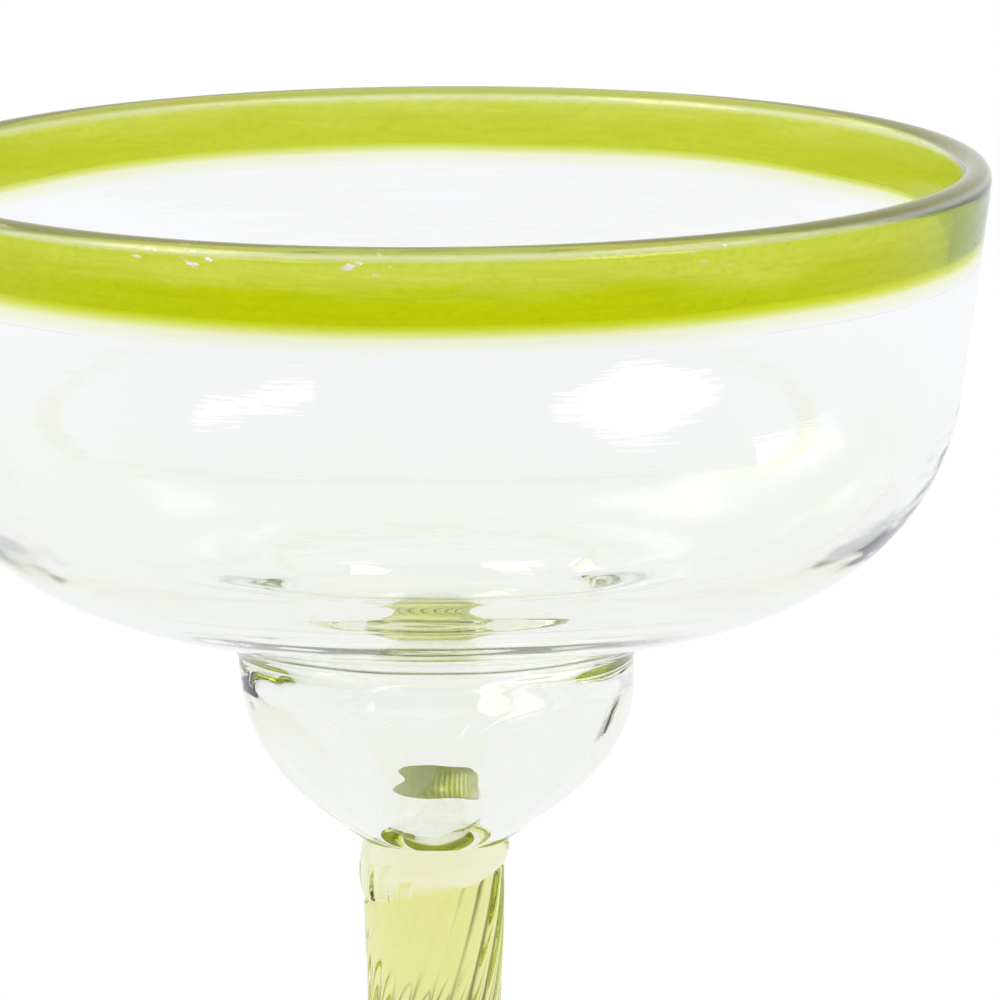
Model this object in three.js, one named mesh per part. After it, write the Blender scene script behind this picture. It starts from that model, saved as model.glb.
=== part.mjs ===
// A stepped cocktail glass in hand-worked glass: a lime lip band on a clear bowl with a small well,
// a clear neck button, a twisted ribbed stem and a round foot.
// Millimetres, +Z up, origin at the middle of the foot's resting plane.
import * as THREE from 'three';

// Lip and wall
const rimRadius = 60;
const wallThickness = 3.4;
const wallLeanDegrees = 6.85;
const wallHeight = 24.3;
const bandHeight = 7.8;

// Dish between the wall and the well: where its curve starts outside the well, and how far each end
// runs straight, as a share of the dish
const dishStart = 1.8;
const dishHeight = 25.2;
const dishFlatness = 0.55;
const shoulderFullness = 0.58;

// Extra glass in the dish below the shoulder: how much, at which radius, and how far it spreads
const dishSwell = 0.6;
const swellRadius = 43.5;
const swellWidth = 4;

// Extra glass where the dish tips over into the well, and how far it spreads
const creaseGlass = 1.2;
const creaseGlassWidth = 5;

// Well under the dish
const wellRadius = 21.3;
const wellDepth = 24.1;
const wellSideFullness = 0.5;
const wellBottomFullness = 0.42;
const wellBottomDegrees = 35.4;
const creaseDrop = 3;
const creaseShare = 0.15;

// Inside of the well, a cup that opens towards the dish
const wellFloor = 2.5;
const boreRadius = 16;
const boreHeight = 16.5;
const boreLeanDegrees = 14;
const cupWidth = 0.45;
const cupSide = 0.55;

// Neck button between the well and the stem, whose lower joint is slanted
const neckRadius = 7.85;
const neckBelly = 0.2;
const neckLength = 5;
const jointSlantDegrees = 17;
const jointGap = 0.3;

// Twisted stem
const stemRadius = 7.7;
const stemWaistRadius = 6.7;
const stemLength = 80.5;
const stemTwistDegrees = 185;
const ribCount = 20;
const ribDepth = 0.42;

// Foot
const footRadius = 39;
const footHeight = 12.5;
const footEdge = 3.6;
const footCollar = 0.7;
const footCollarHeight = 1.4;
const footSweepRise = 1.4;
const footEdgeRound = 3.5;
const restWidth = 6.5;
const footHollow = 1.8;

// Fineness of the facets
const roundSteps = 64;
const dishSteps = 10;
const wellSteps = 7;
const filletSteps = 3;
const mouthSteps = 4;
const lipSteps = 8;
const footSteps = 6;
const pointsPerRib = 4;
const stemSteps = 26;

// Worked out from the sizes above
const wallLean = THREE.MathUtils.degToRad(wallLeanDegrees);
const jointSlope = Math.tan(THREE.MathUtils.degToRad(jointSlantDegrees));
const jointZ = footHeight + stemLength;
const neckTopZ = jointZ + neckLength;
const creaseZ = neckTopZ + wellDepth;
const shoulderZ = creaseZ + dishHeight;
const rimZ = shoulderZ + wallHeight;
const bandZ = rimZ - bandHeight;
const boreLean = Math.tan(THREE.MathUtils.degToRad(boreLeanDegrees));
const bore = at(boreRadius, neckTopZ + boreHeight);
const restOuterRadius = footRadius - footEdgeRound;
const restInnerRadius = restOuterRadius - restWidth;

const limeGlass = new THREE.MeshStandardMaterial({ color: 0xbccb18, roughness: 0.06, metalness: 0 });
const clearGlass = new THREE.MeshStandardMaterial({ color: 0xeef1ec, roughness: 0.05, metalness: 0 });
const paleGlass = new THREE.MeshStandardMaterial({ color: 0xecf0cd, roughness: 0.05, metalness: 0 });
const stemGlass = new THREE.MeshStandardMaterial({ color: 0xd2dc66, roughness: 0.06, metalness: 0 });

function at(radius, z) {
  return new THREE.Vector2(radius, z);
}

// Joins curves end to end into one run of points, with each shared point kept once.
function outlineOf(...stretches) {
  return stretches.flatMap((points, i) => (i === 0 ? points : points.slice(1)));
}

// Turns an outline about Z: up the outside and down the inside, so the faces point out.
function revolve(outline) {
  const geometry = new THREE.LatheGeometry(outline, roundSteps);
  geometry.rotateX(Math.PI / 2);
  return geometry;
}

// Radius of the leaning wall at a height, on its outside or set in from it.
function wallRadius(z, inset) {
  return rimRadius - inset / Math.cos(wallLean) - (rimZ - z) * Math.tan(wallLean);
}

// Underside of the dish, from just outside the well out to the shoulder under the wall.
function dishUnderside() {
  const start = at(wellRadius + dishStart, creaseZ);
  const shoulder = at(wallRadius(shoulderZ, 0), shoulderZ);
  const flat = at(start.x + dishFlatness * (shoulder.x - start.x), creaseZ);
  const fullZ = shoulderZ - shoulderFullness * dishHeight;
  return new THREE.CubicBezierCurve(start, flat, at(wallRadius(fullZ, 0), fullZ), shoulder);
}

// Shares of that curve from the end of the crease to the shoulder.
function dishShares() {
  return Array.from({ length: dishSteps + 1 }, (_, i) => creaseShare + ((1 - creaseShare) * i) / dishSteps);
}

function slopeBetween(from, to) {
  return (to.y - from.y) / (to.x - from.x);
}

// Outside of the bowl, from the neck round the well, over the crease, along the dish and up the wall.
function bowlOutside() {
  const slope = THREE.MathUtils.degToRad(wellBottomDegrees);
  const low = wellBottomFullness * wellDepth;
  const mouth = at(wellRadius, creaseZ - creaseDrop);
  const well = new THREE.CubicBezierCurve(
    at(neckRadius, neckTopZ),
    at(neckRadius + low * Math.cos(slope), neckTopZ + low * Math.sin(slope)),
    at(wellRadius, mouth.y - wellSideFullness * (mouth.y - neckTopZ)),
    mouth,
  ).getPoints(wellSteps);
  const underside = dishUnderside();
  const dish = dishShares().map((share) => underside.getPoint(share));
  const corner = at(wellRadius, dish[0].y - slopeBetween(...dish) * (dish[0].x - wellRadius));
  const crease = new THREE.QuadraticBezierCurve(mouth, corner, dish[0]).getPoints(filletSteps);
  return outlineOf(well, crease, dish, [dish.at(-1), at(wallRadius(bandZ, 0), bandZ)]);
}

function bell(value, middle, width) {
  return Math.exp(-(((value - middle) / width) ** 2));
}

// Inside of the dish: its underside moved in by the glass, thicker below the shoulder and over the well.
function dishInside() {
  const underside = dishUnderside();
  const creaseEnd = underside.getPoint(creaseShare).x;
  return dishShares().map((share) => {
    const place = underside.getPoint(share);
    const along = underside.getTangent(share);
    const swell = dishSwell * bell(place.x, swellRadius, swellWidth);
    const thickness = wallThickness + swell + creaseGlass * bell(place.x, creaseEnd, creaseGlassWidth);
    return at(place.x - along.y * thickness, place.y + along.x * thickness);
  });
}

// Inside of the bowl, from the floor of the well up its cup, over the soft edge of the dish and up the wall.
function bowlInside() {
  const floorZ = neckTopZ + wellFloor;
  const side = cupSide * (bore.y - floorZ);
  const cup = new THREE.CubicBezierCurve(
    at(0, floorZ), at(cupWidth * bore.x, floorZ), at(bore.x - boreLean * side, bore.y - side), bore,
  ).getPoints(wellSteps);
  const dish = dishInside();
  const slope = slopeBetween(...dish);
  const rise = (dish[0].y - bore.y - slope * (dish[0].x - bore.x)) / (1 - slope * boreLean);
  const corner = at(bore.x + boreLean * rise, bore.y + rise);
  const mouth = new THREE.QuadraticBezierCurve(bore, corner, dish[0]).getPoints(mouthSteps);
  return outlineOf(cup, mouth, dish, [dish.at(-1), at(wallRadius(bandZ, wallThickness), bandZ)]);
}

function makeRimBand() {
  const lipRadius = wallThickness / 2;
  const lipZ = rimZ - lipRadius;
  const lip = new THREE.EllipseCurve(
    wallRadius(lipZ, lipRadius), lipZ, lipRadius, lipRadius, -wallLean, Math.PI - wallLean,
  ).getPoints(lipSteps);
  const foot = at(wallRadius(bandZ, 0), bandZ);
  return revolve([foot, ...lip, at(wallRadius(bandZ, wallThickness), bandZ), foot]);
}

function makeBowl() {
  return revolve([at(0, neckTopZ), ...bowlOutside(), ...bowlInside().reverse()]);
}

// A round button that swells a little, with its lower end sheared to the slanted joint.
function makeNeck() {
  const swell = new THREE.QuadraticBezierCurve(
    at(neckRadius, 0), at(neckRadius + 2 * neckBelly, neckLength / 2), at(neckRadius, neckLength),
  ).getPoints(filletSteps);
  const geometry = revolve([at(0, 0), ...swell, at(0, neckLength)]);
  const place = geometry.attributes.position;
  for (let i = 0; i < place.count; i += 1) {
    const below = 1 - place.getZ(i) / neckLength;
    place.setZ(i, jointZ + place.getZ(i) + below * jointSlope * place.getX(i));
  }
  geometry.computeVertexNormals();
  return geometry;
}

// Stem radius at a share of its length: a waist half way up, with broad ribs and soft grooves between.
function stemRadiusAt(share, bearing) {
  const waist = (stemRadius - stemWaistRadius) * Math.sin(Math.PI * share);
  const groove = Math.cos((ribCount * bearing) / 2) ** 4;
  return stemRadius - waist - ribDepth * groove;
}

// A unit rod whose points are pushed out to the ribs, turned along its length and cut to the slanted joint.
function makeStem() {
  const count = ribCount * pointsPerRib;
  const bearings = Array.from({ length: count }, (_, i) => (i * 2 * Math.PI) / count);
  const section = new THREE.Shape(bearings.map((bearing) => at(Math.cos(bearing), Math.sin(bearing))));
  const geometry = new THREE.ExtrudeGeometry(section, { depth: 1, steps: stemSteps, bevelEnabled: false });
  const place = geometry.attributes.position;
  const twist = THREE.MathUtils.degToRad(stemTwistDegrees);
  for (let i = 0; i < place.count; i += 1) {
    const share = place.getZ(i);
    const bearing = Math.atan2(place.getY(i), place.getX(i));
    const radius = stemRadiusAt(share, bearing);
    const x = radius * Math.cos(bearing + twist * share);
    const y = radius * Math.sin(bearing + twist * share);
    const topZ = jointZ + jointSlope * x - jointGap;
    place.setXYZ(i, x, y, footHeight + share * (topZ - footHeight));
  }
  geometry.computeVertexNormals();
  return geometry;
}

// A disc with a hollow underside, a flat ring to rest on, a round edge and a top that sweeps up to the stem.
function makeFoot() {
  const collarRadius = stemRadius + footCollar;
  const collarZ = footHeight - footCollarHeight;
  const sweepZ = footEdge + footSweepRise;
  const edgeMiddle = at(footRadius, footEdge / 2);
  const edgeTop = at(restOuterRadius, footEdge);
  const hollowMiddle = restInnerRadius / 2;
  const hollow = new THREE.CubicBezierCurve(
    at(0, footHollow), at(hollowMiddle, footHollow), at(hollowMiddle, 0), at(restInnerRadius, 0),
  ).getPoints(footSteps);
  const underEdge = new THREE.QuadraticBezierCurve(at(restOuterRadius, 0), at(footRadius, 0), edgeMiddle);
  const overEdge = new THREE.QuadraticBezierCurve(edgeMiddle, at(footRadius, footEdge), edgeTop);
  const sweepOut = at((restOuterRadius + collarRadius) / 2, sweepZ);
  const sweepIn = at(collarRadius, sweepZ);
  const sweep = new THREE.CubicBezierCurve(
    edgeTop, sweepOut, sweepIn, at(collarRadius, collarZ),
  ).getPoints(footSteps);
  const collar = new THREE.QuadraticBezierCurve(
    at(collarRadius, collarZ), at(collarRadius, footHeight), at(stemRadius, footHeight),
  ).getPoints(filletSteps);
  const rest = [hollow.at(-1), at(restOuterRadius, 0)];
  const edge = outlineOf(underEdge.getPoints(filletSteps), overEdge.getPoints(filletSteps));
  return revolve([...outlineOf(hollow, rest, edge, sweep, collar), at(0, footHeight)]);
}

function piece(name, geometry, material) {
  const mesh = new THREE.Mesh(geometry, material);
  mesh.name = name;
  return mesh;
}

const glass = new THREE.Group();
glass.add(
  piece('rim_band', makeRimBand(), limeGlass),
  piece('bowl', makeBowl(), clearGlass),
  piece('neck', makeNeck(), paleGlass),
  piece('stem', makeStem(), stemGlass),
  piece('foot', makeFoot(), stemGlass),
);

export default glass;
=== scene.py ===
"""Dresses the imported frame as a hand-worked margarita glass.

The pieces are a lime lip, a clear bowl with a well, a pale neck, a twisted stem and a round foot.
"""

import math

import bmesh
import bpy
from bpy.props import FloatProperty, FloatVectorProperty, IntProperty, PointerProperty
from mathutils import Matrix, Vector, noise
from mathutils.geometry import interpolate_bezier


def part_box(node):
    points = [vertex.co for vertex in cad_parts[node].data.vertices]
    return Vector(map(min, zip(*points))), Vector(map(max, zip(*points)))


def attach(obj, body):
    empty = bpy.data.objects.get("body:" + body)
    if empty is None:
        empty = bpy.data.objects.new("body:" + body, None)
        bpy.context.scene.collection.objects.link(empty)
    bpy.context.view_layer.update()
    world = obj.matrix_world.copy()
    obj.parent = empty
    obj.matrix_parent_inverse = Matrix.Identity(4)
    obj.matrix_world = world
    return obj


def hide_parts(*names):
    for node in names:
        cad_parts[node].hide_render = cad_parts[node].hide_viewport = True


bl_info = {
    "name": "Margarita glass",
    "version": (1, 0, 0),
    "blender": (4, 5, 0),
    "location": "3D View > Sidebar > Glass",
    "description": "Makes the fused pieces of a hand-worked margarita glass and a plain studio for it",
    "category": "Object",
}

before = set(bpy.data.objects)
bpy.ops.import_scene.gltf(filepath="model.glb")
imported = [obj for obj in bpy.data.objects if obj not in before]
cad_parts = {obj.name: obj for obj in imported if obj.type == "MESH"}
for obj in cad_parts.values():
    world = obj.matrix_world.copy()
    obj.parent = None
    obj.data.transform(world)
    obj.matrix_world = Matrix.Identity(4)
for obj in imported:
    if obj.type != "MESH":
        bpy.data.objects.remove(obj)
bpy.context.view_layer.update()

# Heights and the foot's radius as the frame has them
RIM_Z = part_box("rim_band")[1].z
NECK_TOP_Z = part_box("bowl")[0].z
FOOT_TOP_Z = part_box("foot")[1].z
FOOT_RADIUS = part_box("foot")[1].x

# Gap that keeps two fused faces apart
FUSE_GAP = 0.00001

# The two faces of the glass, whose waves differ
OUTSIDE = 0
INSIDE = 1

# How finely the pieces are drawn round the axis, and along the dish, the wall, the neck and the stem
BOWL_TURN_STEPS = 256
STEM_TURN_STEPS = 360
FOOT_TURN_STEPS = 240
FLOOR_TURN_STEPS = 96
DISH_STEPS = 60
WALL_STEPS = 14
NECK_STEPS = 40
STEM_STEPS = 160

WHITE = (1, 1, 1, 1)


def length(name, description, default):
    return FloatProperty(name=name, description=description, default=default, unit="LENGTH")


def angle(name, description, degrees):
    return FloatProperty(name=name, description=description, default=math.radians(degrees), subtype="ANGLE")


def number(name, description, default):
    return FloatProperty(name=name, description=description, default=default)


def colour(name, description, default):
    return FloatVectorProperty(
        name=name, description=description, default=default, subtype="COLOR", size=3, min=0, max=1)


class GlassBowlSizes(bpy.types.PropertyGroup):
    """Sizes of the lip band and the blown bowl"""

    rim_radius: length("Rim radius", "Outside of the wall carried up to the lip's height", 0.060)
    wall_thickness: length("Wall thickness", "Thickness of the bowl's wall and dish", 0.0034)
    wall_lean: angle("Wall lean", "How far the wall opens from upright", 6.85)
    dish_height: length("Dish height", "From the crease over the well to the shoulder", 0.0252)
    dish_start: length("Dish start", "How far outside the well the curve of the dish starts", 0.0018)
    dish_flatness: number("Dish flatness", "Share of the dish that runs out level from the well", 0.55)
    shoulder_fullness: number("Shoulder fullness", "Share of the dish that follows the wall down", 0.58)
    well_radius: length("Well radius", "Outside of the well at its mouth", 0.0213)
    well_depth: length("Well depth", "From the crease down to the neck", 0.0241)
    well_floor: length("Well floor", "Glass under the middle of the well", 0.00137)
    well_side_fullness: number("Well side fullness", "Share of the well's side that runs straight down", 0.5)
    well_bottom_fullness: number(
        "Well bottom fullness", "Share of the well's depth that runs out from the neck", 0.42)
    well_bottom_slope: angle(
        "Well bottom slope", "Slope of the well's underside where it leaves the neck", 35.4)
    crease_drop: length(
        "Crease drop", "How far the rounding between dish and well reaches down the well", 0.0045)
    crease_share: number(
        "Crease share", "Share of the dish's curve that the rounding between dish and well takes up", 0.146)
    dish_swell: length("Dish swell", "How much thicker the glass is below the shoulder, in front", 0.00098)
    dish_swell_radius: length(
        "Dish swell radius", "Where the glass below the shoulder is thickest", 0.04225)
    dish_swell_width: length("Dish swell width", "How far the thicker glass spreads", 0.00545)
    well_bore: length("Well bore", "Inside radius of the well", 0.0168)
    well_bore_height: length(
        "Well bore height", "From the neck to where the well's inside is steepest", 0.01725)
    well_bore_lean: angle(
        "Well bore lean", "How far the well's inside opens from upright where it is steepest", 6.34)
    well_cup_width: number(
        "Well cup width", "Share of the bore that the floor of the well runs out level", 0.2)
    well_cup_side: number(
        "Well cup side", "Share of the well's inside that runs straight down from the bore", 0.266)
    band_height: length("Band height", "Mean height of the lime band", 0.0080)
    band_unevenness: length(
        "Band unevenness", "How much deeper the band is on the front and shallower behind", 0.0011)
    band_drift: length("Band drift", "How far the band's lower edge wanders up and down", 0.00022)
    band_fade: length(
        "Band fade", "Height over which the lime thins out into the clear wall", 0.00165)
    band_skin: number(
        "Band skin", "Share of the wall in which the last of the lime runs out as a thin skin", 0.15)
    band_skin_run: number("Band skin run", "Share of the fade that the thin skin runs on below it", 0.8)
    waviness: length("Waviness", "Depth of the waves that blowing leaves on the glass", 0.00005)
    well_lumps: length("Well lumps", "Depth of the lumps on the inside of the well", 0.0005)
    well_lump_size: length("Well lump size", "How far the lumps lie apart", 0.0084)
    well_lump_place: number("Well lump place", "Which of the many patterns of lumps the well has", 8.9)
    wall_offset: length("Wall offset", "How far right of the axis the wall was blown", -0.00037)
    well_offset: length("Well offset", "How far right of the axis the well was blown", 0.0005)
    joint_offset: length("Joint offset", "How far right of the axis the well meets the neck", 0.0001)
    lip_tilt: angle("Lip tilt", "How far the lip rises to the right", 0.35)


class GlassStemSizes(bpy.types.PropertyGroup):
    """Sizes of the neck, the stem and the foot"""

    neck_radius: length("Neck radius", "Neck button at its joint with the well", 0.00785)
    neck_belly: length("Neck belly", "How far the neck swells at half height", 0.0002)
    neck_length: length("Neck length", "From the well to the middle of the slanted seam", 0.005)
    neck_offset: length("Neck offset", "How far right of the axis the neck was set", -0.00014)
    seam_slant: angle("Seam slant", "Slope of the seam between neck and stem", 12)
    seam_upturn: length("Seam upturn", "How far the seam turns up at its high side", 0.0011)
    seam_groove: length("Seam groove", "Depth of the notch along the seam", 0.0004)
    seam_rounding: length("Seam rounding", "Height over which the stem rounds in to the seam", 0.0009)
    stem_radius: length("Stem radius", "Over the ribs at both ends", 0.0077)
    stem_waist: length("Stem waist", "Over the ribs half way up", 0.0067)
    stem_twist: angle("Stem twist", "Turn of the ribs from the foot to the neck", 185)
    rib_count: IntProperty(name="Ribs", description="Ribs round the stem", default=20)
    rib_depth: length("Rib depth", "Depth of the grooves between the ribs", 0.00042)
    rib_end_height: length(
        "Rib end height", "How far the ends of the ribs stand out from the neck", 0.00032)
    rib_end_reach: length(
        "Rib end reach", "How far the ribs run up the neck on its low side", 0.0040)
    foot_radius: length("Foot radius", "Outside of the foot", FOOT_RADIUS)
    foot_edge: length("Foot edge", "Thickness of the foot's round edge", 0.0036)
    foot_edge_round: length("Foot edge rounding", "How far the round edge reaches in", 0.0035)
    foot_rest: length("Foot rest", "Width of the ring that the foot stands on", 0.0065)
    foot_hollow: length("Foot hollow", "How far the underside is hollowed", 0.0018)
    foot_collar: length("Foot collar", "How far the foot's collar stands out from the stem", 0.0007)


class GlassColours(bpy.types.PropertyGroup):
    """Colours of the glass: what it takes from light inside it, and the tints on its surface, among them
    painted shade on the lip's crown and in the stem's grooves and a painted greenish reflection low on the
    bowl
    """

    lime: colour("Lime", "Absorption colour of the lip band", (0.844, 0.879, 0.0))
    lime_strength: number("Lime strength", "Absorption density of the lip band", 725)
    lime_deep: colour("Deep lime", "Tint of the band's lower part", (0.84, 0.87, 0.02))
    lime_mottle: colour("Lime mottle", "Tint of the faint streaks and grain in the band", (0.9, 0.915, 0.7))
    # Painted shade: grey olive on the top of the lip, where its surface faces up
    crown_shade: colour("Lip crown", "Tint on the top of the lip", (0.52, 0.52, 0.20))
    clear: colour("Clear", "Absorption colour of the bowl", (0.55, 0.6, 0.0))
    clear_strength: number("Clear strength", "Absorption density of the bowl", 4)
    # Painted reflection: a greenish, slightly darker tint low on the bowl
    clear_painted_reflection: colour("Clear cast", "Tint of the bowl below its wall", (0.975, 0.985, 0.94))
    pale: colour("Pale", "Absorption colour of the neck", (0.79, 0.79, 0.03))
    pale_strength: number("Pale strength", "Absorption density of the neck", 36)
    stem: colour("Stem", "Absorption colour of the stem and the foot", (0.84, 0.86, 0.05))
    # Painted shade: dark tint along the stem's grooves
    stem_groove_shade: colour("Stem groove", "Tint along the grooves of the stem", (0.1, 0.12, 0.01))
    stem_strength: number("Stem strength", "Absorption density of the stem and the foot", 85)


class GlassStage(bpy.types.PropertyGroup):
    """The studio round the glass"""

    camera_distance: length("Camera distance", "From the camera to the middle of the lip", 1.2857)
    camera_height: angle("Camera elevation", "How far the camera looks down on the lip", 8.5)
    camera_lens: number("Lens", "Focal length in millimetres", 432)
    aim_right: length("Aim right", "Middle of the picture, right of the lip's middle", 0.00707)
    aim_down: length("Aim down", "Middle of the picture, below the lip's middle", 0.0361)
    floor_radius: length("Floor radius", "Reach of the pale floor", 0.34)
    room_tint: colour("Room tint", "Colour of the white room as the glass shows it", (0.95, 0.96, 0.995))


def bowl_sizes():
    return bpy.context.scene.glass_bowl


def stem_sizes():
    return bpy.context.scene.glass_stem


def crease_height():
    """Height of the crease between the dish and the well"""
    return NECK_TOP_Z + bowl_sizes().well_depth


def smooth_step(value):
    share = min(1.0, max(0.0, value))
    return share * share * (3 - 2 * share)


def bell(value, middle, width):
    return math.exp(-(((value - middle) / width) ** 2))


def rounded(share):
    """Height of a quarter round, from 0 where it starts to 1 on its crown and after"""
    return math.sqrt(max(0.0, 1 - (1 - min(1.0, share)) ** 2))


def curve(start, lead_out, lead_in, end, steps):
    """Points of a cubic curve in the plane of radius and height"""
    knots = [Vector(point).to_3d() for point in (start, lead_out, lead_in, end)]
    return [(point.x, point.y) for point in interpolate_bezier(*knots, steps + 1)]


def bend(start, corner, end, steps):
    """Points of a curve that leaves start and reaches end in line with one corner"""
    share = 2 / 3
    lead_out = (start[0] + share * (corner[0] - start[0]), start[1] + share * (corner[1] - start[1]))
    lead_in = (end[0] + share * (corner[0] - end[0]), end[1] + share * (corner[1] - end[1]))
    return curve(start, lead_out, lead_in, end, steps)


def straight(start, end, steps):
    return [(start[0] + (end[0] - start[0]) * i / steps, start[1] + (end[1] - start[1]) * i / steps)
            for i in range(steps + 1)]


def run_together(*stretches):
    """Joins stretches end to end, with each shared point kept once"""
    points = list(stretches[0])
    for stretch in stretches[1:]:
        points.extend(stretch[1:])
    return points


def bearings(count):
    return [2 * math.pi * i / count for i in range(count)]


def turned(outline, count):
    """Columns of points that carry an outline of radius and height round the axis"""
    return [[Vector((r * math.cos(b), r * math.sin(b), z)) for r, z in outline] for b in bearings(count)]


def skin(name, columns, fused=(), closed=False):
    """One closed, smooth mesh over columns of points; fused stretches are marked as joints between pieces"""
    rings = [list(ring) for ring in zip(*columns)]
    same_point = 1e-7
    body = bmesh.new()
    joint = body.faces.layers.float.new("joint")
    made = []
    for ring in rings:
        if all((point - ring[0]).length < same_point for point in ring):
            made.append([body.verts.new(ring[0])] * len(ring))
        else:
            made.append([body.verts.new(point) for point in ring])
    stretches = list(zip(made, made[1:]))
    if closed:
        stretches.append((made[-1], made[0]))
    for order, (lower, upper) in enumerate(stretches):
        for i in range(len(lower)):
            j = (i + 1) % len(lower)
            corners = []
            for corner in (lower[i], lower[j], upper[j], upper[i]):
                if corner not in corners:
                    corners.append(corner)
            face = body.faces.new(corners)
            face.smooth = True
            face[joint] = 1.0 if order in fused else 0.0
    for edge in body.edges:
        sides = [face[joint] for face in edge.link_faces]
        edge.smooth = max(sides) == min(sides)
    mesh = bpy.data.meshes.new(name)
    body.to_mesh(mesh)
    body.free()
    piece = bpy.data.objects.new(name, mesh)
    bpy.context.collection.objects.link(piece)
    return piece


# Waves of the blown glass: how close they lie across it and up it, and what sets its two faces apart
FINE_WAVES = {"across": 22, "upward": 110, "apart": 7}
BROAD_WAVES = {"across": 9, "upward": 30, "apart": 11}
BROAD_WAVE_SHARE = 2.2

# Radius in which the waves die out towards the axis, and depth over which the lumps come in below the crease
CALM_RADIUS = 0.006
LUMP_FADE = 0.006

# Where the glass stands furthest off its axis, from the crease or the neck's top, and how far that spreads
WALL_OFFSET_RISE = 0.024
WALL_OFFSET_SPREAD = 0.014
WELL_OFFSET_DROP = 0.012
WELL_OFFSET_SPREAD = 0.008
JOINT_OFFSET_SPREAD = 0.002
NECK_OFFSET_DROP = 0.0042
NECK_OFFSET_SPREAD = 0.0022


def wave(radius, z, side, layer, across, upward, apart):
    """Height of a wave at a point of the turned form, on the outside or the inside of the glass"""
    up = z * upward + apart * layer
    return noise.noise(Vector((radius * side.x * across, radius * side.y * across, up)))


def off_axis(z):
    """How far hand work leaves a height of the glass right of its axis"""
    sizes = bowl_sizes()
    crease_z = crease_height()
    offset = sizes.wall_offset * bell(z, crease_z + WALL_OFFSET_RISE, WALL_OFFSET_SPREAD)
    offset += sizes.well_offset * bell(z, crease_z - WELL_OFFSET_DROP, WELL_OFFSET_SPREAD)
    offset += sizes.joint_offset * bell(z, NECK_TOP_Z, JOINT_OFFSET_SPREAD)
    offset += stem_sizes().neck_offset * bell(z, NECK_TOP_Z - NECK_OFFSET_DROP, NECK_OFFSET_SPREAD)
    return offset


def worked(radius, z, bearing, layer):
    """Where hand work leaves a point of the turned form: off its axis, tilted at the lip, and wavy"""
    sizes = bowl_sizes()
    crease_z = crease_height()
    side = Vector((math.cos(bearing), math.sin(bearing), 0))
    fine = wave(radius, z, side, layer, **FINE_WAVES)
    broad = wave(radius, z, side, layer, **BROAD_WAVES)
    calm = smooth_step(radius / CALM_RADIUS)
    waves = calm * sizes.waviness * (fine + BROAD_WAVE_SHARE * broad)
    in_well = layer * smooth_step((crease_z - z) / LUMP_FADE)
    lump = Vector((radius * side.x, radius * side.y, z)) / sizes.well_lump_size
    lump.z += sizes.well_lump_place
    waves += calm * in_well * sizes.well_lumps * noise.noise(lump)
    place = side * (radius + waves)
    lip = smooth_step((z - crease_z) / (RIM_Z - crease_z))
    return Vector((place.x + off_axis(z), place.y, z + lip * math.tan(sizes.lip_tilt) * place.x))


def wall_radius(z, inset):
    """Radius of the leaning wall at a height, on its outside or set in from it"""
    sizes = bowl_sizes()
    return sizes.rim_radius - inset / math.cos(sizes.wall_lean) - (RIM_Z - z) * math.tan(sizes.wall_lean)


# How quickly the band's lower edge wanders on its way round, and which of the many ways it takes
EDGE_DRIFT_PACE = 3
EDGE_DRIFT_PLACE = 5


def lime_seam(bearing, depth):
    """Height of the band's lower edge; depth runs from 0 on the outside of the wall to 1 on its inside"""
    sizes = bowl_sizes()
    right = EDGE_DRIFT_PACE * math.cos(bearing)
    back = EDGE_DRIFT_PACE * math.sin(bearing)
    drift = sizes.band_drift * noise.noise(Vector((right, back, EDGE_DRIFT_PLACE)))
    height = sizes.band_height - sizes.band_unevenness * math.sin(bearing) + drift
    skin_run = sizes.band_skin_run * sizes.band_fade * max(0.0, 1 - depth / sizes.band_skin)
    return RIM_Z - height + (depth - 0.5) * sizes.band_fade - skin_run


def lime_seam_points(bearing, lift):
    """The band's lower edge as points from the outside of the wall to its inside"""
    sizes = bowl_sizes()
    points = []
    for depth in (0, sizes.band_skin, 1):
        z = lime_seam(bearing, depth) + lift
        points.append((wall_radius(z, depth * sizes.wall_thickness), z))
    return points


def dish_outside():
    """Underside of the dish, from where it leaves the crease out to the shoulder under the wall"""
    sizes = bowl_sizes()
    crease_z = crease_height()
    shoulder_z = crease_z + sizes.dish_height
    start = (sizes.well_radius + sizes.dish_start, crease_z)
    shoulder = (wall_radius(shoulder_z, 0), shoulder_z)
    full_z = shoulder_z - sizes.shoulder_fullness * sizes.dish_height
    flat = (start[0] + sizes.dish_flatness * (shoulder[0] - start[0]), crease_z)
    whole = curve(start, flat, (wall_radius(full_z, 0), full_z), shoulder, DISH_STEPS)
    return whole[round(DISH_STEPS * sizes.crease_share):]


def slope_at_start(points):
    return (points[1][1] - points[0][1]) / (points[1][0] - points[0][0])


def bowl_outside(top):
    """Outside of the bowl, from the well's mouth through the dish and up the wall"""
    sizes = bowl_sizes()
    mouth = (sizes.well_radius, crease_height() - sizes.crease_drop)
    dish = dish_outside()
    corner = (sizes.well_radius, dish[0][1] - slope_at_start(dish) * (dish[0][0] - sizes.well_radius))
    return run_together(
        bend(mouth, corner, dish[0], steps=16),
        dish,
        straight(dish[-1], top, WALL_STEPS),
    )


# How quickly the thicker glass of the dish thins out from the front to the back
SWELL_POWER = 1.5


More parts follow.
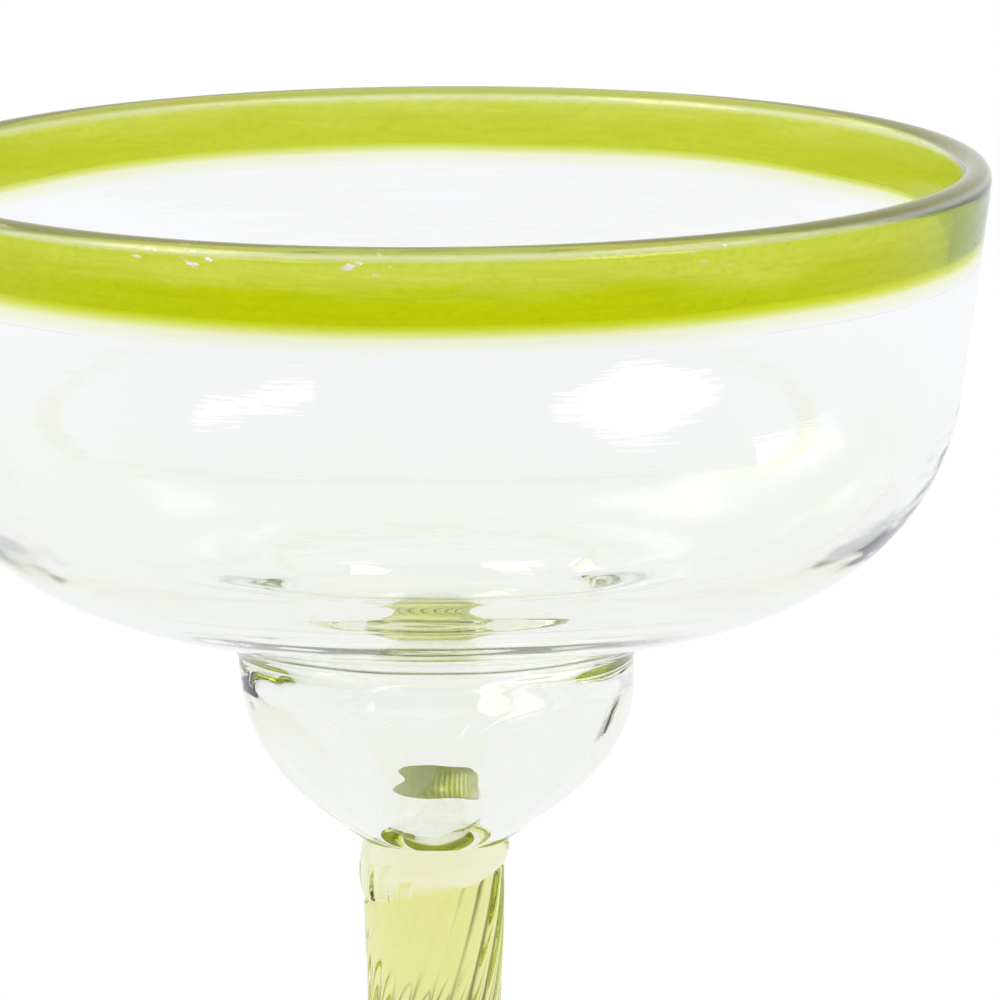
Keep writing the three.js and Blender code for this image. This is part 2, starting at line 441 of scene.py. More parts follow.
def bowl_inside(top, bearing):
    """Inside of the bowl, from the well's bore over the soft edge of the dish and up the wall"""
    sizes = bowl_sizes()
    front = 0.5 - 0.5 * math.sin(bearing)
    gathered = sizes.dish_swell * front ** SWELL_POWER
    bore = (sizes.well_bore, NECK_TOP_Z + sizes.well_bore_height)
    outside = dish_outside()
    dish = []
    for before, here, after in zip(outside, outside[1:], outside[2:]):
        along = Vector(after) - Vector(before)
        inward = Vector((-along.y, along.x)).normalized()
        swell = gathered * bell(here[0], sizes.dish_swell_radius, sizes.dish_swell_width)
        thick = sizes.wall_thickness + swell
        dish.append(tuple(Vector(here) + inward * thick))
    lean = math.tan(sizes.well_bore_lean)
    slope = slope_at_start(dish)
    rise = (dish[0][1] - bore[1] - slope * (dish[0][0] - bore[0])) / (1 - slope * lean)
    corner = (bore[0] + lean * rise, bore[1] + rise)
    return run_together(
        bend(bore, corner, dish[0], steps=24),
        dish,
        straight(dish[-1], top, WALL_STEPS),
    )


def well_outside():
    """Outside of the well, from the neck up to the well's mouth"""
    sizes = bowl_sizes()
    low = sizes.well_bottom_fullness * sizes.well_depth
    mouth_z = crease_height() - sizes.crease_drop
    neck = stem_sizes().neck_radius
    slope = sizes.well_bottom_slope
    leave = (neck + low * math.cos(slope), NECK_TOP_Z + low * math.sin(slope))
    arrive = (sizes.well_radius, mouth_z - sizes.well_side_fullness * (mouth_z - NECK_TOP_Z))
    return curve((neck, NECK_TOP_Z), leave, arrive, (sizes.well_radius, mouth_z), steps=36)


def well_inside():
    """Inside of the well, a cup from the middle of its floor up to where its side is steepest"""
    sizes = bowl_sizes()
    floor_z = NECK_TOP_Z + sizes.well_floor
    bore = (sizes.well_bore, NECK_TOP_Z + sizes.well_bore_height)
    side = sizes.well_cup_side * (bore[1] - floor_z)
    lead_in = (bore[0] - side * math.tan(sizes.well_bore_lean), bore[1] - side)
    return curve((0, floor_z), (sizes.well_cup_width * bore[0], floor_z), lead_in, bore, steps=36)


# How suddenly the seam turns up at its high side, and how near its two ends the notch keeps
UPTURN_POWER = 5
NOTCH_POWER = 4


def neck_seam(x):
    """Height of the slanted seam between the neck and the stem"""
    sizes = stem_sizes()
    middle = NECK_TOP_Z - sizes.neck_length
    side = max(0.0, x / sizes.neck_radius)
    return middle + math.tan(sizes.seam_slant) * x + sizes.seam_upturn * side ** UPTURN_POWER


def seam_radius(bearing):
    """Radius of the seam itself, which is notched at its two ends and flush in front"""
    sizes = stem_sizes()
    return sizes.stem_radius - sizes.seam_groove * math.cos(bearing) ** NOTCH_POWER


def stem_share(z):
    """How far up the stem a height lies, from 0 on the foot to 1 at the middle of the seam"""
    return (z - FOOT_TOP_Z) / (neck_seam(0) - FOOT_TOP_Z)


def rib_phase(z, bearing):
    """Turns of the rib pattern at a point of the stem or above it: whole numbers lie in the grooves"""
    sizes = stem_sizes()
    return sizes.rib_count * (bearing - sizes.stem_twist * stem_share(z)) / (2 * math.pi)


# How soft the grooves are, where up the stem the ribs melt away, how far, and the side that keeps them
GROOVE_SOFTNESS = 0.12
MELT_START = 0.80
MELT_RUN = 0.14
MELT_SHARE = 0.97
RIBBED_SIDE = math.radians(319)
RIBBED_SPREAD = math.radians(40)


def rib_groove(z, bearing):
    """Depth of the soft grooves between the ribs, as a share; under the seam they fade, but for one side"""
    groove = 1 - math.hypot(math.sin(math.pi * rib_phase(z, bearing)), GROOVE_SOFTNESS)
    from_ribbed_side = math.remainder(bearing - RIBBED_SIDE, 2 * math.pi)
    smooth_side = 1 - bell(from_ribbed_side, 0, RIBBED_SPREAD)
    melted = MELT_SHARE * smooth_side * smooth_step((stem_share(z) - MELT_START) / MELT_RUN)
    return groove * (1 - melted)


def stem_radius_at(z, bearing):
    """Stem radius at a height: a waist half way up, and broad ribs with soft grooves"""
    sizes = stem_sizes()
    waist = (sizes.stem_radius - sizes.stem_waist) * math.sin(math.pi * min(1.0, stem_share(z)))
    return sizes.stem_radius - waist - sizes.rib_depth * rib_groove(z, bearing)


# Rib ends on the neck: how much they still twist, how much of a rib stands out, where, and the shortest
RIB_END_TWIST = 0.4
RIB_END_START = 0.55
RIB_END_RUN = 0.4
RIB_END_FROM = math.radians(190)
RIB_END_TO = math.radians(257)
RIB_END_SHORTEST = 0.0002


def rib_end(z, seam_z, bearing):
    """How far a rib that runs on over the seam stands out from the neck; only those on the low side do"""
    sizes = stem_sizes()
    phase = rib_phase(seam_z + RIB_END_TWIST * (z - seam_z), bearing)
    ridge = smooth_step((abs(math.sin(math.pi * phase)) - RIB_END_START) / RIB_END_RUN)
    step = 2 * math.pi / sizes.rib_count
    middle = bearing + step * (math.floor(phase) + 0.5 - phase)
    low_side = smooth_step((RIB_END_TO - middle) / step) * smooth_step((middle - RIB_END_FROM) / step)
    reach = sizes.rib_end_reach * low_side
    if reach < RIB_END_SHORTEST:
        return 0.0
    return sizes.rib_end_height * ridge * rounded(1 - (z - seam_z) / reach)


def node(tree, kind, values=None, **settings):
    """A node with its settings, and its inputs given as values or as links from other nodes' outputs"""
    made = tree.nodes.new(kind)
    for name, value in settings.items():
        setattr(made, name, value)
    for name, value in (values or {}).items():
        socket = made.inputs[name]
        if isinstance(value, bpy.types.NodeSocket):
            tree.links.new(value, socket)
        else:
            socket.default_value = value
    return made


def arithmetic(tree, operation, *values, **settings):
    """Result of one step of arithmetic"""
    return node(tree, "ShaderNodeMath", dict(enumerate(values)), operation=operation, **settings).outputs[0]


def place_arithmetic(tree, operation, *values):
    """Result of one step of arithmetic on places"""
    return node(tree, "ShaderNodeVectorMath", dict(enumerate(values)), operation=operation).outputs[0]


def distance_of(tree, vector):
    return node(tree, "ShaderNodeVectorMath", {0: vector}, operation="LENGTH").outputs["Value"]


def axes_of(tree, vector):
    return node(tree, "ShaderNodeSeparateXYZ", {0: vector}).outputs


def mixed(tree, share, first, second, blend="MIX"):
    """Colour that goes from the first to the second, or to their blend, as the share rises"""
    return node(tree, "ShaderNodeMix", {"Factor": share, "A": first, "B": second},
                data_type="RGBA", blend_type=blend).outputs["Result"]


def ramp(tree, value, start, end, low=0.0, high=1.0, bends="SMOOTHSTEP"):
    """A span of values carried over to another, and held at both ends"""
    return node(tree, "ShaderNodeMapRange", {
        "Value": value, "From Min": start, "From Max": end, "To Min": low, "To Max": high},
        interpolation_type=bends).outputs["Result"]


def place_on(tree):
    """Where a point of the glass lies in the frame"""
    return node(tree, "ShaderNodeTexCoord").outputs["Object"]


def stretched_noise(tree, across, along, detail, seed):
    """Noise in the glass's own space, drawn out along the turning of the glass"""
    spread = node(tree, "ShaderNodeMapping", {
        "Vector": place_on(tree), "Scale": (across, across, along), "Location": (seed, 0, 0)})
    return node(tree, "ShaderNodeTexNoise", {
        "Vector": spread.outputs[0], "Scale": 1.0, "Detail": detail, "Roughness": 0.55}).outputs["Fac"]


def new_material(name):
    material = bpy.data.materials.new(name)
    material.use_nodes = True
    material.node_tree.nodes.clear()
    return material


# How glass bends light, how far under the lip the wall's fine lines end, and how deep lines and waves are
GLASS_IOR = 1.5
LINES_END = 0.036
LINES_FULL = 0.022
LINE_DEPTH = 0.00014
ROLL_DEPTH = 0.0005


def glass_material(name, absorption, strength, shadow, ripple):
    """Glass, open to its fused neighbours, that takes colour by its thickness and lets lamp light through"""
    material = new_material(name)
    tree = material.node_tree
    wall = ramp(tree, axes_of(tree, place_on(tree))["Z"], RIM_Z - LINES_END, RIM_Z - LINES_FULL)
    lines = stretched_noise(tree, across=60, along=900, detail=3, seed=2.0)
    lines = arithmetic(tree, "MULTIPLY", lines, wall)
    rolls = stretched_noise(tree, across=35, along=160, detail=2, seed=9.0)
    lined = node(tree, "ShaderNodeBump", {"Height": lines, "Strength": ripple, "Distance": LINE_DEPTH})
    rolled = node(tree, "ShaderNodeBump", {
        "Height": rolls, "Strength": ripple, "Distance": ROLL_DEPTH, "Normal": lined.outputs[0]})
    surface = node(tree, "ShaderNodeBsdfPrincipled", {
        "Base Color": WHITE, "Roughness": 0.0, "IOR": GLASS_IOR, "Transmission Weight": 1.0,
        "Normal": rolled.outputs[0]})
    fused = node(tree, "ShaderNodeAttribute", attribute_name="joint").outputs["Fac"]
    open_way = node(tree, "ShaderNodeBsdfTransparent", {"Color": WHITE})
    body = node(tree, "ShaderNodeMixShader", {0: fused, 1: surface.outputs[0], 2: open_way.outputs[0]})
    lamp_way = node(tree, "ShaderNodeBsdfTransparent", {"Color": (*shadow, 1)})
    from_lamp = node(tree, "ShaderNodeLightPath").outputs["Is Shadow Ray"]
    whole = node(tree, "ShaderNodeMixShader", {0: from_lamp, 1: body.outputs[0], 2: lamp_way.outputs[0]})
    inner = node(tree, "ShaderNodeVolumeAbsorption", {"Color": (*absorption, 1), "Density": strength})
    node(tree, "ShaderNodeOutputMaterial", {"Surface": whole.outputs[0], "Volume": inner.outputs[0]})
    return material, surface


def finish_piece(piece, material, cad_node):
    piece.data.materials.append(material)
    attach(piece, "root")
    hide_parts(cad_node)


class GLASS_OT_lip(bpy.types.Operator):
    """Makes the lime band that forms the lip"""

    bl_idname = "glass.lip"
    bl_label = "Lime lip"

    # Heights over the band's lower edge between which all its tints come in
    tints_start = -0.0005
    tints_full = 0.0009
    # Heights over the same edge between which the deep tint ends, and how far they drift
    deep_end = 0.0095
    deep_full = 0.0065
    deep_drift = 0.0070
    # Share of the deep tint behind, and how far from the axis it changes from front to back
    deep_behind = 0.55
    deep_turn = 0.03
    # Levels of the noise between which streaks, grain and flecks come in
    streak_levels = (0.42, 0.7)
    grain_levels = (0.4, 0.75)
    fleck_levels = (0.56, 0.64)
    # How far up the surface faces where the crown gets painted shade and where a diffuse share paints a pale
    # highlight line under it, and how strong that share is
    crown_shade_facing = (0.45, 0.75)
    highlight_facing = (0.06, 0.45)
    painted_highlight_share = 0.42
    # Bearing in degrees and reach of each patch of scuffs, where the patches lie and how they thin out
    scuff_patches = ((-116.5, 0.0077), (-96.5, 0.0042), (-60, 0.0050))
    scuff_radius = 0.058
    scuff_drop = 0.0016
    scuff_height = 1 / 600
    scuff_edge = (1.0, 0.5)
    scuff_outside = (0.0575, 0.0585)
    # Colour of what the band mirrors
    mirror_tint = (0.9, 0.95, 0.1)

    def column(self, bearing):
        sizes = bowl_sizes()
        round_radius = sizes.wall_thickness / 2
        round_steps = 20
        lip_z = RIM_Z - round_radius
        lip_middle = wall_radius(lip_z, round_radius)
        turn = [-sizes.wall_lean + math.pi * i / round_steps for i in range(round_steps + 1)]
        lip = [(lip_middle + round_radius * math.cos(a), lip_z + round_radius * math.sin(a)) for a in turn]
        low_out, low_skin, low_in = lime_seam_points(bearing, FUSE_GAP)
        points = run_together(
            straight(low_out, lip[0], WALL_STEPS), lip, straight(lip[-1], low_in, WALL_STEPS))
        crown = len(points) // 2
        column = [worked(r, z, bearing, OUTSIDE) for r, z in points[:crown]]
        column += [worked(r, z, bearing, INSIDE) for r, z in points[crown:]]
        return [*column, worked(*low_skin, bearing, OUTSIDE)]

    def over_edge(self, tree):
        """Height of a point, with the slope of the band's lower edge taken out"""
        sizes = bowl_sizes()
        at = axes_of(tree, place_on(tree))
        return arithmetic(tree, "MULTIPLY_ADD", at["Y"], -sizes.band_unevenness / sizes.rim_radius, at["Z"])

    def full_lime(self, tree):
        """Share that keeps tints off the fade under the band"""
        edge = RIM_Z - bowl_sizes().band_height
        return ramp(tree, self.over_edge(tree), edge + self.tints_start, edge + self.tints_full)

    def deepness(self, tree):
        """Share of the deep tint: full low on the band, gone at the lip and less behind"""
        edge = RIM_Z - bowl_sizes().band_height
        drift = stretched_noise(tree, across=75, along=420, detail=4, seed=4.0)
        drifted = arithmetic(tree, "MULTIPLY_ADD", drift, self.deep_drift, self.over_edge(tree))
        low = ramp(tree, drifted, edge + self.deep_end, edge + self.deep_full)
        back = axes_of(tree, place_on(tree))["Y"]
        front = ramp(tree, back, self.deep_turn, -self.deep_turn, low=self.deep_behind, bends="LINEAR")
        return arithmetic(tree, "MULTIPLY", low, front)

    def mottle(self, tree):
        """Share of the faint streaks and grain that the wrapping of the lime leaves all over it"""
        streak = stretched_noise(tree, across=110, along=1500, detail=4, seed=12.0)
        grain = stretched_noise(tree, across=900, along=1400, detail=2, seed=15.0)
        return arithmetic(tree, "MAXIMUM", ramp(tree, streak, *self.streak_levels),
                          ramp(tree, grain, *self.grain_levels))

    def scuffs(self, tree):
        """Patches of white flecks on the outside of the lip, most of them on its left front"""
        place = place_on(tree)
        near = 0.0
        for degrees, reach in self.scuff_patches:
            side = math.radians(degrees)
            middle = (self.scuff_radius * math.cos(side), self.scuff_radius * math.sin(side),
                      RIM_Z - self.scuff_drop)
            patch = place_arithmetic(tree, "SUBTRACT", place, middle)
            patch = place_arithmetic(tree, "MULTIPLY", patch, (1 / reach, 1 / reach, 1 / self.scuff_height))
            in_patch = ramp(tree, distance_of(tree, patch), *self.scuff_edge)
            near = arithmetic(tree, "MAXIMUM", near, in_patch)
        from_axis = distance_of(tree, place_arithmetic(tree, "MULTIPLY", place, (1, 1, 0)))
        near = arithmetic(tree, "MULTIPLY", ramp(tree, from_axis, *self.scuff_outside), near)
        flecks = stretched_noise(tree, across=420, along=1100, detail=4, seed=6.0)
        return arithmetic(tree, "MULTIPLY", ramp(tree, flecks, *self.fleck_levels), near)

    def tint_and_painted_shade(self, tree, colours, facing, scuff):
        """Colour of the surface: deep and mottled on the band, greyed on the crown by painted shade, and
        white in the scuffs
        """
        band = mixed(tree, self.deepness(tree), WHITE, (*colours.lime_deep, 1))
        band = mixed(tree, self.mottle(tree), band, (*colours.lime_mottle, 1), blend="MULTIPLY")
        band = mixed(tree, self.full_lime(tree), WHITE, band)
        # Painted shade greys the upward-facing crown
        crown_shaded = mixed(tree, ramp(tree, facing, *self.crown_shade_facing), band, (*colours.crown_shade, 1))
        return mixed(tree, scuff, crown_shaded, WHITE)

    def execute(self, context):
        colours = context.scene.glass_colours
        columns = [self.column(bearing) for bearing in bearings(BOWL_TURN_STEPS)]
        last = len(columns[0]) - 1
        piece = skin("lime_lip", columns, fused={last - 1, last}, closed=True)
        material, surface = glass_material(
            "lime_glass", colours.lime, colours.lime_strength, shadow=(0.9, 0.93, 0.5), ripple=0.1)
        tree = material.node_tree
        facing = axes_of(tree, node(tree, "ShaderNodeNewGeometry").outputs["Normal"])["Z"]
        scuff = self.scuffs(tree)
        # Painted highlight: a diffuse share, where the lip faces a little upward, paints a pale line under
        # the crown; the white scuffs add to it
        highlight_and_scuff = arithmetic(tree, "MULTIPLY", ramp(tree, facing, *self.highlight_facing), self.painted_highlight_share)
        highlight_and_scuff = arithmetic(tree, "MAXIMUM", highlight_and_scuff, scuff)
        tree.links.new(self.tint_and_painted_shade(tree, colours, facing, scuff), surface.inputs["Base Color"])
        tree.links.new(arithmetic(tree, "SUBTRACT", 1.0, highlight_and_scuff), surface.inputs["Transmission Weight"])
        surface.inputs["Specular Tint"].default_value = (*self.mirror_tint, 1)
        finish_piece(piece, material, "rim_band")
        return {"FINISHED"}


class GLASS_OT_bowl(bpy.types.Operator):
    """Makes the blown clear bowl with its well"""

    bl_idname = "glass.bowl"
    bl_label = "Clear bowl"

    # How far under the lip the painted greenish reflection comes in and is full, its streaks, and the least
    # of it between them
    reflection_start = 0.017
    reflection_full = 0.030
    reflection_levels = (0.3, 0.7)
    reflection_least = 0.5

    def column(self, bearing):
        top_out, top_skin, top_in = lime_seam_points(bearing, 0)
        outside = run_together(well_outside(), bowl_outside(top_out))
        inside = run_together(well_inside(), bowl_inside(top_in, bearing))
        points = [worked(0, NECK_TOP_Z, bearing, OUTSIDE)]
        points += [worked(r, z, bearing, OUTSIDE) for r, z in [*outside, top_skin]]
        points += [worked(r, z, bearing, INSIDE) for r, z in reversed(inside)]
        return points, len(outside)

    def cast(self, tree, colours):
        """Painted greenish reflection on the glass low on the bowl, in soft streaks, while the top of the
        wall is white
        """
        height = axes_of(tree, place_on(tree))["Z"]
        low = ramp(tree, height, RIM_Z - self.reflection_start, RIM_Z - self.reflection_full)
        streak = stretched_noise(tree, across=160, along=25, detail=2, seed=3.0)
        streak = ramp(tree, streak, *self.reflection_levels, low=self.reflection_least, bends="LINEAR")
        return mixed(tree, arithmetic(tree, "MULTIPLY", low, streak), WHITE, (*colours.clear_painted_reflection, 1))

    def execute(self, context):
        colours = context.scene.glass_colours
        made = [self.column(bearing) for bearing in bearings(BOWL_TURN_STEPS)]
        lip_joint = made[0][1]
        piece = skin("blown_bowl", [points for points, _ in made], fused={0, lip_joint, lip_joint + 1})
        material, surface = glass_material(
            "clear_glass", colours.clear, colours.clear_strength, shadow=(0.93, 0.94, 0.92), ripple=0.2)
        tree = material.node_tree
        # The base colour carries a painted greenish reflection low on the bowl
        tree.links.new(self.cast(tree, colours), surface.inputs["Base Color"])
        finish_piece(piece, material, "bowl")
        return {"FINISHED"}


class GLASS_OT_neck(bpy.types.Operator):
    """Makes the pale button between the well and the stem"""

    bl_idname = "glass.neck"
    bl_label = "Pale neck"

    # Shares of the neck's height in which it rounds out from the seam and widens to the well
    rounding_share = 0.16
    widening_share = 0.6

    def column(self, bearing):
        sizes = stem_sizes()
        seam = seam_radius(bearing)
        low_z = neck_seam(seam * math.cos(bearing)) + FUSE_GAP
        high_z = NECK_TOP_Z - FUSE_GAP
        points = [worked(0, neck_seam(0) + FUSE_GAP, bearing, OUTSIDE)]
        for i in range(NECK_STEPS + 1):
            share = i / NECK_STEPS
            z = low_z + share * (high_z - low_z)
            belly = 4 * sizes.neck_belly * share * (1 - share)
            widened = smooth_step(share / self.widening_share)
            taper = sizes.stem_radius + (sizes.neck_radius - sizes.stem_radius) * widened
            notch = (sizes.stem_radius - seam) * (1 - rounded(share / self.rounding_share))
            radius = taper + belly - notch
            points.append(worked(radius + rib_end(z, low_z, bearing), z, bearing, OUTSIDE))
        points.append(worked(0, high_z, bearing, OUTSIDE))
        return points

    def execute(self, context):
        colours = context.scene.glass_colours
        columns = [self.column(bearing) for bearing in bearings(STEM_TURN_STEPS)]
        last = len(columns[0]) - 2
        piece = skin("pale_neck", columns, fused={0, last})
        material, _ = glass_material(
            "pale_glass", colours.pale, colours.pale_strength, shadow=(0.92, 0.94, 0.85), ripple=0.2)
        finish_piece(piece, material, "neck")
        return {"FINISHED"}


class GLASS_OT_stem(bpy.types.Operator):
    """Makes the ribbed, twisted stem"""

    bl_idname = "glass.stem"
    bl_label = "Twisted stem"

    # Shares of a groove's depth between which its painted shade comes in
    shaded_depth = (0.3, 0.85)

    def column(self, bearing):
        sizes = stem_sizes()
        seam = seam_radius(bearing)
        high_z = neck_seam(seam * math.cos(bearing))
        low_z = FOOT_TOP_Z + FUSE_GAP
        points = [Vector((0, 0, low_z))]
        for i in range(STEM_STEPS + 1):
            z = low_z + i / STEM_STEPS * (high_z - low_z)
            open_up = rounded((high_z - z) / sizes.seam_rounding)
            radius = seam + (stem_radius_at(z, bearing) - seam) * open_up
            points.append(worked(radius, z, bearing, OUTSIDE))
        points.append(worked(0, neck_seam(0), bearing, OUTSIDE))
        return points

    def mark_grooves(self, piece):
        groove = piece.data.attributes.new("groove", "FLOAT", "POINT")
        for point, mark in zip(piece.data.vertices, groove.data):
            mark.value = rib_groove(point.co.z, math.atan2(point.co.y, point.co.x))

    def execute(self, context):
        colours = context.scene.glass_colours
        columns = [self.column(bearing) for bearing in bearings(STEM_TURN_STEPS)]
        last = len(columns[0]) - 2
        piece = skin("twisted_stem", columns, fused={0, last})
        self.mark_grooves(piece)
        material, surface = glass_material(
            "stem_glass", colours.stem, colours.stem_strength, shadow=(0.9, 0.93, 0.7), ripple=0.12)
        tree = material.node_tree
        # Painted shade darkens the stem along its grooves
        groove = node(tree, "ShaderNodeAttribute", attribute_name="groove").outputs["Fac"]
        tint_and_painted_shade = mixed(tree, ramp(tree, groove, *self.shaded_depth), WHITE, (*colours.stem_groove_shade, 1))
        tree.links.new(tint_and_painted_shade, surface.inputs["Base Color"])
        finish_piece(piece, material, "stem")
        return {"FINISHED"}


class GLASS_OT_foot(bpy.types.Operator):
    """Makes the round foot with its hollow underside"""

    bl_idname = "glass.foot"
    bl_label = "Round foot"

    def outline(self):
        sizes = stem_sizes()
        rest_out = sizes.foot_radius - sizes.foot_edge_round
        rest_in = rest_out - sizes.foot_rest
        collar = sizes.stem_radius + sizes.foot_collar
        collar_z = FOOT_TOP_Z - 2 * sizes.foot_collar
        sweep_z = sizes.foot_edge + 2 * sizes.foot_collar
        middle = (sizes.foot_radius, sizes.foot_edge / 2)
        edge_top = (rest_out, sizes.foot_edge)
        hollow_top = (rest_in / 2, sizes.foot_hollow)
        hollow = curve((0, sizes.foot_hollow), hollow_top, (rest_in / 2, 0), (rest_in, 0), steps=24)
        rest = straight((rest_in, 0), (rest_out, 0), steps=4)
        under_edge = bend((rest_out, 0), (sizes.foot_radius, 0), middle, steps=10)
        over_edge = bend(middle, (sizes.foot_radius, sizes.foot_edge), edge_top, steps=10)
        sweep_out = ((rest_out + collar) / 2, sweep_z)
        sweep = curve(edge_top, sweep_out, (collar, sweep_z), (collar, collar_z), steps=30)
        top = bend((collar, collar_z), (collar, FOOT_TOP_Z), (sizes.stem_radius, FOOT_TOP_Z), steps=8)
        return run_together(hollow, rest, under_edge, over_edge, sweep, top, [top[-1], (0, FOOT_TOP_Z)])

    def execute(self, context):
        colours = context.scene.glass_colours
        outline = self.outline()
        last = len(outline) - 2
        piece = skin("round_foot", turned(outline, FOOT_TURN_STEPS), fused={last})
        material, _ = glass_material(
            "foot_glass", colours.stem, colours.stem_strength, shadow=(0.9, 0.93, 0.7), ripple=0.12)
        finish_piece(piece, material, "foot")
        return {"FINISHED"}


class GLASS_OT_stage(bpy.types.Operator):
    """Makes the floor, the studio light and the camera"""

    bl_idname = "glass.stage"
    bl_label = "Studio"

    # The floor's depth and grey, and how much it glows to the room and in the glass
    floor_depth = 0.002
    floor_grey = (0.6, 0.6, 0.6)
    floor_glow = 0.5
    floor_glow_in_glass = 0.9
    # Light of the room on the glass, and how dark its front is where the glass mirrors it
    room_light = 0.8
    front_level = 0.6
    front_reach = (-0.75, 0.1)
    # Height that the lamps point at, and how far off they stand
    lamp_aim_z = 0.14
    lamp_distance = 1.2
    # Width of the camera's sensor in millimetres
    sensor_width = 36
    # How often light may pass into and out of the glass
    bounces = 32
    glossy_bounces = 16

    def in_glass(self, tree, rays):
        """1 for what is seen through the glass or mirrored in it"""
        return arithmetic(tree, "MAXIMUM", rays["Is Transmission Ray"], rays["Is Glossy Ray"])

    def in_picture(self, tree, rays):
        """1 for what is seen directly or in the glass, and 0 for what only gives light"""
        return arithmetic(tree, "MAXIMUM", rays["Is Camera Ray"], self.in_glass(tree, rays))

    def room_colour(self, tree, rays, settings):
        """White where it is seen directly, and a little tinted in the glass"""
        return mixed(tree, rays["Is Camera Ray"], (*settings.room_tint, 1), WHITE)

    def floor(self, settings):
        edge = settings.floor_radius
        outline = ((0, -self.floor_depth), (edge, -self.floor_depth), (edge, 0), (0, 0))
        piece = skin("floor", turned(outline, FLOOR_TURN_STEPS))
        piece.data.shade_flat()
        material = new_material("pale_floor")
        tree = material.node_tree
        rays = node(tree, "ShaderNodeLightPath").outputs
        paper = node(tree, "ShaderNodeBsdfDiffuse", {"Color": (*self.floor_grey, 1)})
        glow = node(tree, "ShaderNodeEmission", {
            "Color": self.room_colour(tree, rays, settings), "Strength": self.in_picture(tree, rays)})
        share = ramp(tree, self.in_glass(tree, rays), 0, 1,
                     low=self.floor_glow, high=self.floor_glow_in_glass, bends="LINEAR")
        sheet = node(tree, "ShaderNodeMixShader", {0: share, 1: paper.outputs[0], 2: glow.outputs[0]})
        node(tree, "ShaderNodeOutputMaterial", {"Surface": sheet.outputs[0]})
        piece.data.materials.append(material)

    def world(self, settings):
        world = bpy.data.worlds.new("studio")
        bpy.context.scene.world = world
        world.use_nodes = True
        tree = world.node_tree
        tree.nodes.clear()
        rays = node(tree, "ShaderNodeLightPath").outputs
        way = axes_of(tree, node(tree, "ShaderNodeTexCoord").outputs["Generated"])
        room = ramp(tree, way["Y"], *self.front_reach, low=self.front_level)
        mirrored = arithmetic(
            tree, "SUBTRACT", rays["Is Glossy Ray"], rays["Is Transmission Ray"], use_clamp=True)
        level = node(tree, "ShaderNodeMix", {"Factor": mirrored, "A": 1.0, "B": room}).outputs[0]
        plain = node(tree, "ShaderNodeBackground", {"Color": WHITE, "Strength": self.room_light})
        shown = node(tree, "ShaderNodeBackground", {
            "Color": self.room_colour(tree, rays, settings), "Strength": level})
        both = node(tree, "ShaderNodeMixShader", {
            0: self.in_picture(tree, rays), 1: plain.outputs[0], 2: shown.outputs[0]})
        node(tree, "ShaderNodeOutputWorld", {"Surface": both.outputs[0]})

    def lamp(self, name, azimuth, elevation, size, radiance):
        """A soft box; azimuth 0 stands behind the camera and 90 on its right"""
        turn = math.radians(azimuth)
        rise = math.radians(elevation)
        away = Vector((math.sin(turn) * math.cos(rise), -math.cos(turn) * math.cos(rise), math.sin(rise)))
        light = bpy.data.lights.new(name, "AREA")
        light.shape = "RECTANGLE"
        light.size = size[0]
        light.size_y = size[1]
        light.energy = radiance * math.pi * size[0] * size[1]
        lamp = bpy.data.objects.new(name, light)
        bpy.context.collection.objects.link(lamp)
        lamp.location = Vector((0, 0, self.lamp_aim_z)) + away * self.lamp_distance
        lamp.rotation_mode = "QUATERNION"
        lamp.rotation_quaternion = away.to_track_quat("Z", "Y")
        lamp.visible_camera = False

    def camera(self, settings):
        data = bpy.data.cameras.new("camera")
        data.lens = settings.camera_lens
        data.sensor_width = self.sensor_width
        camera = bpy.data.objects.new("camera", data)
        bpy.context.collection.objects.link(camera)
        lip = Vector((0, 0, RIM_Z))
        rise = settings.camera_height
        back = Vector((0, -math.cos(rise), math.sin(rise)))
        up = Vector((0, math.sin(rise), math.cos(rise)))
        aim = lip + Vector((settings.aim_right, 0, 0)) - up * settings.aim_down
        camera.location = lip + back * settings.camera_distance
        camera.rotation_mode = "QUATERNION"
        camera.rotation_quaternion = (aim - camera.location).to_track_quat("-Z", "Y")
        bpy.context.scene.camera = camera

    def execute(self, context):
        scene = context.scene
        self.floor(scene.glass_stage)
        self.world(scene.glass_stage)
        self.lamp("left_box", azimuth=-67, elevation=45, size=(0.52, 0.68), radiance=4)
        self.lamp("right_box", azimuth=59, elevation=51, size=(0.55, 0.14), radiance=4)
        self.lamp("back_left_box", azimuth=-130, elevation=34, size=(0.35, 0.3), radiance=2.5)
        self.camera(scene.glass_stage)
        scene.view_settings.view_transform = "Standard"
        scene.cycles.max_bounces = self.bounces
        scene.cycles.transmission_bounces = self.bounces
        scene.cycles.glossy_bounces = self.glossy_bounces
        scene.cycles.transparent_max_bounces = self.bounces
        return {"FINISHED"}


class GLASS_PT_pieces(bpy.types.Panel):
    """Lists the pieces of the glass and their sizes"""

    bl_idname = "GLASS_PT_pieces"
    bl_label = "Margarita glass"
    bl_space_type = "VIEW_3D"
    bl_region_type = "UI"
    bl_category = "Glass"

    def draw(self, context):
        for name, kind in GROUPS.items():
            box = self.layout.box()
            for setting in kind.__annotations__:
                box.prop(getattr(context.scene, name), setting)
        for operator in OPERATORS:
            self.layout.operator(operator.bl_idname)


GROUPS = {
    "glass_bowl": GlassBowlSizes,
    "glass_stem": GlassStemSizes,
    "glass_colours": GlassColours,
    "glass_stage": GlassStage,
}
OPERATORS = (GLASS_OT_lip, GLASS_OT_bowl, GLASS_OT_neck, GLASS_OT_stem, GLASS_OT_foot, GLASS_OT_stage)


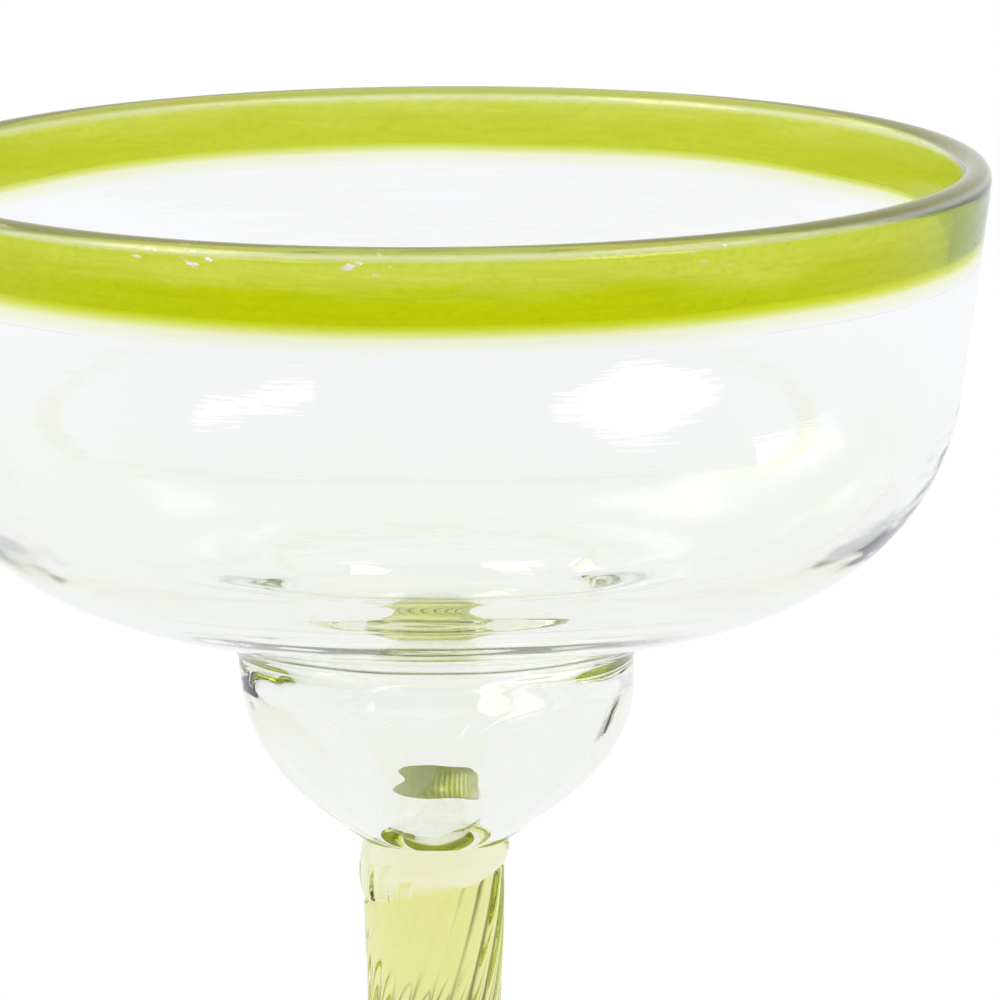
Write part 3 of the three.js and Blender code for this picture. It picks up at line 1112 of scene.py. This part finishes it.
def register():
    for name, group in GROUPS.items():
        bpy.utils.register_class(group)
        setattr(bpy.types.Scene, name, PointerProperty(type=group))
    for kind in (*OPERATORS, GLASS_PT_pieces):
        bpy.utils.register_class(kind)


def unregister():
    for kind in (GLASS_PT_pieces, *reversed(OPERATORS)):
        bpy.utils.unregister_class(kind)
    for name, group in GROUPS.items():
        delattr(bpy.types.Scene, name)
        bpy.utils.unregister_class(group)


def main():
    register()
    bpy.ops.glass.lip()
    bpy.ops.glass.bowl()
    bpy.ops.glass.neck()
    bpy.ops.glass.stem()
    bpy.ops.glass.foot()
    bpy.ops.glass.stage()


if __name__ == "__main__":
    main()
